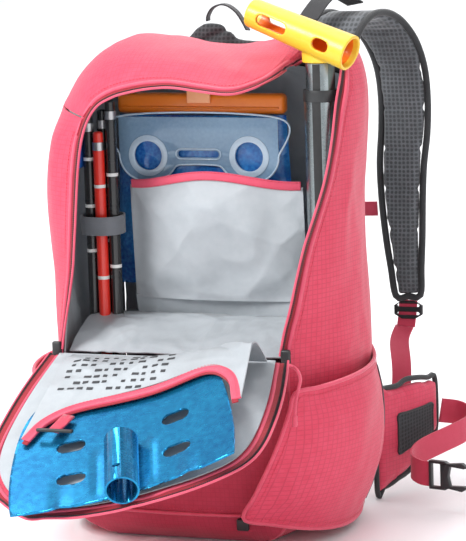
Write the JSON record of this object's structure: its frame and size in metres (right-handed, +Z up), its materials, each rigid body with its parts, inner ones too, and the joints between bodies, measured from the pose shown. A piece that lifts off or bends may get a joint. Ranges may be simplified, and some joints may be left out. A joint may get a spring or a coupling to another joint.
{
  "type": "ski touring backpack",
  "caption": "Panel-opening ski backpack standing open, with a flap-stowed shovel blade, shaft, probe and drinking reservoir, and a foam harness.",
  "frame": {"origin": "on the ground, in the underside of the base panel, under the middle of the bag", "axes": "+Z up, -Y the side that opens, +Y towards the wearer's back, +X the wearer's right-hand side seen from behind the wearer"},
  "size_m": [0.4772, 0.598, 0.515],
  "materials": {
    "coral_ripstop": "woven ripstop, matte",
    "deep_red_fabric": "woven, matte, darker red",
    "base_fabric": "heavier weave, matte",
    "coral_piping": "bound edge, satin",
    "coral_webbing": "woven webbing",
    "lining_fabric": "thin crinkled lining, slight sheen",
    "grey_elastic": "woven elastic, matte",
    "black_air_mesh": "foam pad under spacer mesh",
    "strap_mesh": "foam strap under heather mesh",
    "black_webbing": "woven webbing",
    "black_plastic": "moulded, satin",
    "spring_steel": "drawn",
    "silver_aluminium": "brushed and clear anodised",
    "blue_anodised_aluminium": "anodised, satin",
    "yellow_plastic": "moulded, satin",
    "probe_black": "smooth coated tube",
    "probe_red": "smooth coated tube",
    "probe_grip_blue": "moulded",
    "reservoir_film": "flexible film, glossy",
    "orange_plastic": "moulded, satin",
    "peach_plastic": "moulded, satin",
    "clear_plastic": "clear flexible plate"
  },
  "bodies": {
    "pack": {"side_panel_left": "coral_ripstop", "side_panel_right": "coral_ripstop", "top_panel": "coral_ripstop", "lining_shell": "lining_fabric", "front_lower_panel": "deep_red_fabric", "base_panel": "base_fabric", "zip_track_body": "coral_piping", "frame_sheet": "black_plastic", "frame_rod": "spring_steel", "back_pad": "black_air_mesh", "lumbar_pad": "black_air_mesh", "lining_back": "lining_fabric", "compartment_floor": "lining_fabric", "reservoir_pocket": "lining_fabric", "reservoir_pocket_hem": "coral_piping", "reservoir_bag": "reservoir_film", "reservoir_clip_tab": "peach_plastic", "reservoir_handle": "clear_plastic", "probe_loop": "grey_elastic", "side_pocket_left": "coral_ripstop", "side_pocket_right": "coral_ripstop", "lower_webbing_left": "coral_webbing", "lower_webbing_right": "coral_webbing", "load_lifter_left": "black_webbing", "load_lifter_right": "black_webbing", "zip_slider_lower": "black_plastic"},
    "flap": {"front_flap": "coral_ripstop", "flap_lining": "lining_fabric", "blade_pocket": "lining_fabric", "blade_pocket_hem": "coral_piping", "blade_tab": "coral_piping", "zip_track_flap": "coral_piping"},
    "blade": {"shovel_blade": "blue_anodised_aluminium"},
    "shaft": {"shaft_lower_tube": "silver_aluminium"},
    "grip": {"shaft_upper_tube": "silver_aluminium", "t_grip": "yellow_plastic"},
    "lock_button": {"shaft_lock_button": "black_plastic"},
    "probe": {"probe_tube_left": "probe_black", "probe_tube_red": "probe_red", "probe_tube_right": "probe_black", "probe_tube_rear": "probe_black", "probe_pull_grip": "probe_grip_blue"},
    "slide_bar": {"reservoir_slide_bar": "orange_plastic"},
    "slider_left": {"zip_slider_left": "black_plastic"},
    "slider_right": {"zip_slider_right": "black_plastic"},
    "puller_left": {"zip_puller_left": "coral_piping"},
    "puller_right": {"zip_puller_right": "coral_piping"},
    "grab_loop": {"haul_loop": "black_webbing"},
    "strap_left": {"shoulder_strap_left": "strap_mesh"},
    "strap_right": {"shoulder_strap_right": "strap_mesh", "sternum_webbing": "coral_webbing"},
    "ladder_left": {"ladder_buckle_left": "black_plastic"},
    "ladder_right": {"ladder_buckle_right": "black_plastic"},
    "wing_left": {"hip_wing_left": "coral_ripstop", "hip_webbing_left": "coral_webbing"},
    "wing_right": {"hip_wing_right": "coral_ripstop", "hip_webbing_right": "coral_webbing"},
    "buckle_male": {"hip_buckle_male": "black_plastic"},
    "buckle_female": {"hip_buckle_female": "black_plastic"},
    "buckle_sternum": {"sternum_buckle": "black_plastic"}
  },
  "joints": [
    {"name": "flap_hinge", "type": "hinge", "parent": "pack", "child": "flap", "pos_m": [-0.01, -0.106, 0.188], "axis": [1, 0, 0], "range_deg": [-116, 0]},
    {"name": "blade_slide", "type": "slide", "parent": "flap", "child": "blade", "axis": [0.3256, -0.8424, -0.4293], "range_m": [0, 0.12]},
    {"name": "shaft_pull", "type": "slide", "parent": "pack", "child": "shaft", "axis": [0, 0, 1], "range_m": [0, 0.2]},
    {"name": "grip_telescope", "type": "slide", "parent": "shaft", "child": "grip", "axis": [0, 0, 1], "range_m": [0, 0.08]},
    {"name": "lock_button_press", "type": "slide", "parent": "shaft", "child": "lock_button", "axis": [0, -1, 0], "range_m": [0, 0.0015], "stiffness_N_per_m": 300},
    {"name": "probe_pull", "type": "slide", "parent": "pack", "child": "probe", "axis": [0, 0, 1], "range_m": [0, 0.016]},
    {"name": "slide_bar_pull", "type": "slide", "parent": "pack", "child": "slide_bar", "axis": [1, 0, 0], "range_m": [0, 0.028]},
    {"name": "zip_slider_left_travel", "type": "slide", "parent": "pack", "child": "slider_left", "axis": [0.149, 0, 0.9888], "range_m": [0, 0.045]},
    {"name": "zip_slider_right_travel", "type": "slide", "parent": "pack", "child": "slider_right", "axis": [0.2163, 0.0865, 0.9725], "range_m": [0, 0.04]},
    {"name": "zip_puller_left_swing", "type": "hinge", "parent": "slider_left", "child": "puller_left", "pos_m": [-0.125, -0.1025, 0.183], "axis": [1, 0, 0], "range_deg": [-10, 20]},
    {"name": "zip_puller_right_swing", "type": "hinge", "parent": "slider_right", "child": "puller_right", "pos_m": [0.106, -0.1025, 0.183], "axis": [1, 0, 0], "range_deg": [-10, 10]},
    {"name": "grab_loop_swing", "type": "hinge", "parent": "pack", "child": "grab_loop", "pos_m": [-0.013, 0.1095, 0.472], "axis": [1, 0, 0], "range_deg": [-75, 0]},
    {"name": "shoulder_strap_left_swing", "type": "hinge", "parent": "pack", "child": "strap_left", "pos_m": [-0.085, 0.112, 0.43], "axis": [1, 0, 0], "range_deg": [-6, 30], "deforming": ["lower_webbing_left", "load_lifter_left"]},
    {"name": "shoulder_strap_right_swing", "type": "hinge", "parent": "pack", "child": "strap_right", "pos_m": [0.085, 0.112, 0.43], "axis": [1, 0, 0], "range_deg": [-6, 28], "deforming": ["lower_webbing_right", "load_lifter_right"]},
    {"name": "ladder_buckle_left_tilt", "type": "hinge", "parent": "strap_left", "child": "ladder_left", "pos_m": [-0.12, 0.212, 0.174], "axis": [1, 0, 0], "range_deg": [-20, 20]},
    {"name": "ladder_buckle_right_tilt", "type": "hinge", "parent": "strap_right", "child": "ladder_right", "pos_m": [0.126, 0.25, 0.178], "axis": [1, 0, 0], "range_deg": [-20, 20]},
    {"name": "hip_wing_left_fold", "type": "hinge", "parent": "pack", "child": "wing_left", "pos_m": [-0.124, 0.106, 0.06], "axis": [0, 0, 1], "range_deg": [-35, 12]},
    {"name": "hip_wing_right_fold", "type": "hinge", "parent": "pack", "child": "wing_right", "pos_m": [0.124, 0.106, 0.06], "axis": [0, 0, 1], "range_deg": [-12, 35]},
    {"name": "hip_buckle_male_swivel", "type": "hinge", "parent": "wing_right", "child": "buckle_male", "pos_m": [0.1935, 0.0846, 0.0355], "axis": [0, 0, 1], "range_deg": [-30, 30]},
    {"name": "hip_buckle_female_swivel", "type": "hinge", "parent": "wing_left", "child": "buckle_female", "pos_m": [-0.2045, 0.2385, 0.057], "axis": [0, 0, 1], "range_deg": [-30, 30]},
    {"name": "sternum_buckle_swivel", "type": "hinge", "parent": "strap_right", "child": "buckle_sternum", "pos_m": [0.043, 0.262, 0.27], "axis": [0, 0, 1], "range_deg": [-30, 30]}
  ]
}
